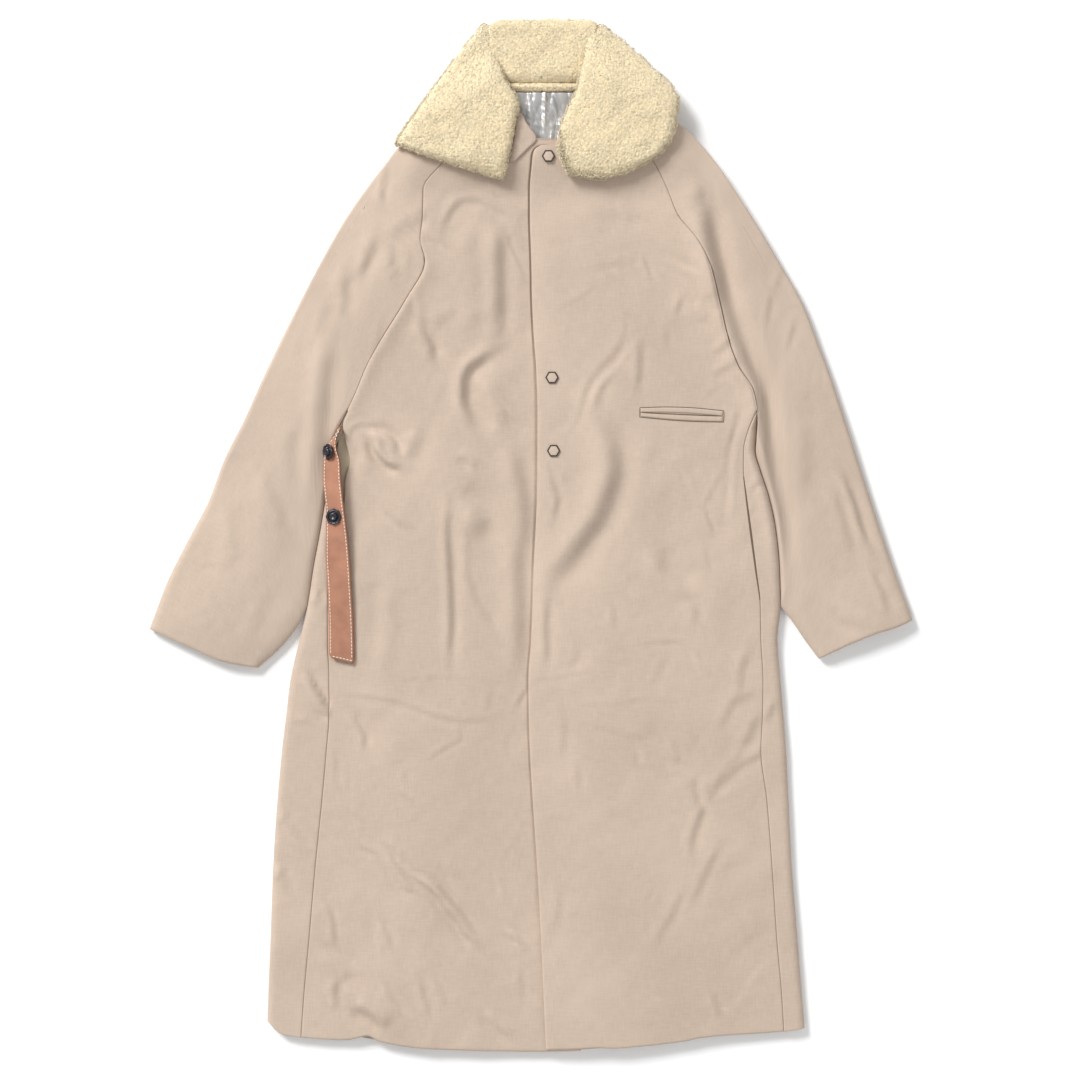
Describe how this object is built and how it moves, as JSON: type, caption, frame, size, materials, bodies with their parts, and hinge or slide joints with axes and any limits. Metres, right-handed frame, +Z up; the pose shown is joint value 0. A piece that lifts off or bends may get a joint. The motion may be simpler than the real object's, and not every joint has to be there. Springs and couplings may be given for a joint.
{
  "type": "long wool coat",
  "caption": "Long raglan wool coat laid flat, with a shearling fold-over collar, snap placket, welt and side pockets, and a leather pocket strap.",
  "frame": {"origin": "on the surface that the coat rests on, at the middle of its length and width, on the back panel's flat underside", "axes": "+Z up from the surface, +Y from the hem to the collar, +X to the wearer's left"},
  "size_m": [0.9168, 1.237, 0.041],
  "materials": {
    "wool_cloth": "fine wool twill, beige",
    "shearling": "short curled sheepskin pile, cream",
    "lining_cloth": "silver coated lining cloth",
    "leather_strap": "smooth tan leather",
    "black_metal": "black lacquered snap metal",
    "snap_enamel": "dark enamelled rim",
    "snap_cap": "beige enamelled cap"
  },
  "bodies": {
    "root": {"back_panel": "wool_cloth", "front_left": "wool_cloth", "front_right": "wool_cloth", "sleeve_left": "wool_cloth", "sleeve_right": "wool_cloth", "collar_leaf_left": "shearling", "collar_leaf_right": "shearling", "collar_stand": "shearling", "collar_stand_band": "shearling", "collar_back_fall": "shearling", "lining_neck": "lining_cloth", "undercollar_right": "wool_cloth", "chest_welt_upper": "wool_cloth", "chest_welt_lower": "wool_cloth", "pocket_facing_right": "wool_cloth", "strap": "leather_strap", "strap_snap_upper": "black_metal", "strap_snap_lower": "black_metal", "snap_1_ring": "snap_enamel", "snap_1_cap": "snap_cap", "snap_2_ring": "snap_enamel", "snap_2_cap": "snap_cap", "snap_3_ring": "snap_enamel", "snap_3_cap": "snap_cap"}
  },
  "joints": []
}
